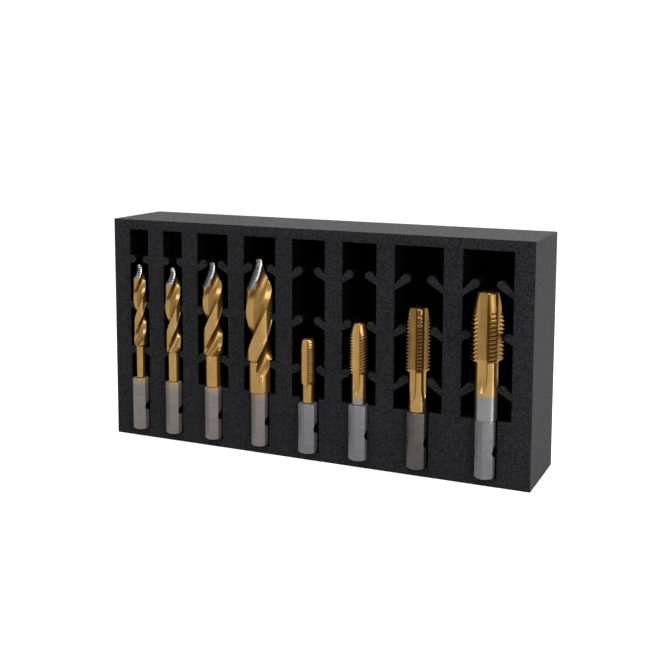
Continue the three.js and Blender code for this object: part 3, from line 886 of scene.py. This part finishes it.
def world():
    sky = bpy.data.worlds.new("studio")
    bpy.context.scene.world = sky
    sky.use_nodes = True
    nodes, links = sky.node_tree.nodes, sky.node_tree.links
    light = nodes["Background"]
    light.inputs["Color"].default_value = WHITE
    light.inputs["Strength"].default_value = SKY_LIGHT
    seen = nodes.new("ShaderNodeBackground")
    seen.inputs["Color"].default_value = WHITE
    seen.inputs["Strength"].default_value = 1
    mix = nodes.new("ShaderNodeMixShader")
    links.new(seen_share(nodes, links), mix.inputs["Fac"])
    links.new(light.outputs[0], mix.inputs[1])
    links.new(seen.outputs[0], mix.inputs[2])
    links.new(mix.outputs[0], nodes["World Output"].inputs["Surface"])


def lamp(name, place, target, size, power):
    light = bpy.data.lights.new(name, "AREA")
    light.shape = "RECTANGLE"
    light.size, light.size_y = size
    light.energy = power
    made = bpy.data.objects.new(name, light)
    bpy.context.scene.collection.objects.link(made)
    made.location = place
    made.rotation_mode = "QUATERNION"
    made.rotation_quaternion = (Vector(target) - Vector(place)).to_track_quat("-Z", "Y")
    made.visible_camera = False


def camera():
    data = bpy.data.cameras.new("camera")
    data.lens = CAMERA_LENS
    data.sensor_width = CAMERA_SENSOR
    data.shift_y = CAMERA_SHIFT
    made = bpy.data.objects.new("camera", data)
    bpy.context.scene.collection.objects.link(made)
    made.location = CAMERA_PLACE
    made.rotation_mode = "QUATERNION"
    level = Euler((math.pi / 2 - CAMERA_DROP, 0, CAMERA_TURN)).to_quaternion()
    made.rotation_quaternion = level @ Quaternion((0, 0, 1), CAMERA_ROLL)
    bpy.context.scene.camera = made


def dress(node, pieces):
    for piece in pieces:
        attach(piece, node)
        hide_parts(node)


camera()
world()
floor()
for name, (place, target, size, power) in LAMPS.items():
    lamp(name, place, target, size, power)

foam_skin = foam_material("foam_skin", *FOAM_SKIN, specular=0.11, sheen=0.14)
# The cut foam's near-black colour is painted shade inside the slots
cut_foam_painted_shade = foam_material("cut_foam_painted_shade", *FOAM_CUT_PAINTED_SHADE, specular=0.01, sheen=0.0)
foam_piece("foam_cut_layer", foam_skin, cut_foam_painted_shade)
foam_piece("foam_base_layer", foam_skin, cut_foam_painted_shade)

land_coat = coat_material("land_coat", *GOLD)
# The flute coat's darker gold is painted shade in the flutes
flute_coat_painted_shade = coat_material("flute_coat_painted_shade", *FLUTE_GOLD_PAINTED_SHADE, roughness=0.36)
ground = steel_material("ground_point", *GROUND_STEEL, roughness=0.32)
groove = steel_material("ground_groove_painted_shade", *GROOVE_STEEL_PAINTED_SHADE, roughness=0.45)
drill_steel = steel_material(
    "drill_shank_steel", *DRILL_STEEL, roughness=0.45, stretch=ON_SHANK, gold_reflection_from=GOLD_REFLECTION_FROM,
    metallic=0.35,
)
tap_steel = steel_material(
    "tap_shank_steel", *TAP_STEEL, roughness=0.42, stretch=ON_SHANK, metallic=0.35
)
brown_steel = steel_material(
    "brown_shank_steel", *BROWN_STEEL, roughness=0.38, stretch=ON_SHANK, metallic=0.7
)
notch_painted_shade = steel_material("notch_steel_painted_shade", *NOTCH_STEEL_PAINTED_SHADE, roughness=0.5)

for node, drill in DRILLS.items():
    body = drill_body(node, drill, [land_coat, ground, flute_coat_painted_shade, groove])
    steels = (drill_steel, notch_painted_shade)
    end = shank(node, DRILL_HEX, SHANK_LENGTH, drill["neck"], (1,), DRILL_NOTCH_RADIUS, steels)
    dress(node, [body, end])

for node, tap in TAPS.items():
    # The flute and thread coats of the larger taps take the darker golds, which are painted shade
    coats = [
        coat_material(f"{node}_{place}_coat", *golds.get(node, GOLD), BARE_BELOW.get(node))
        for place, golds in (("neck", {}), ("flute", FLUTE_GOLDS_PAINTED_SHADE), ("thread", THREAD_GOLDS_PAINTED_SHADE))
    ]
    steels = (brown_steel if node == "tap_m12" else tap_steel, notch_painted_shade)
    body = tap_body(node, tap, coats)
    end = shank(node, TAP_HEX, tap["shank"], tap["neck"], (1, -1), TAP_NOTCH_RADIUS, steels)
    dress(node, [body, end])

bpy.context.scene.view_settings.view_transform = "Standard"
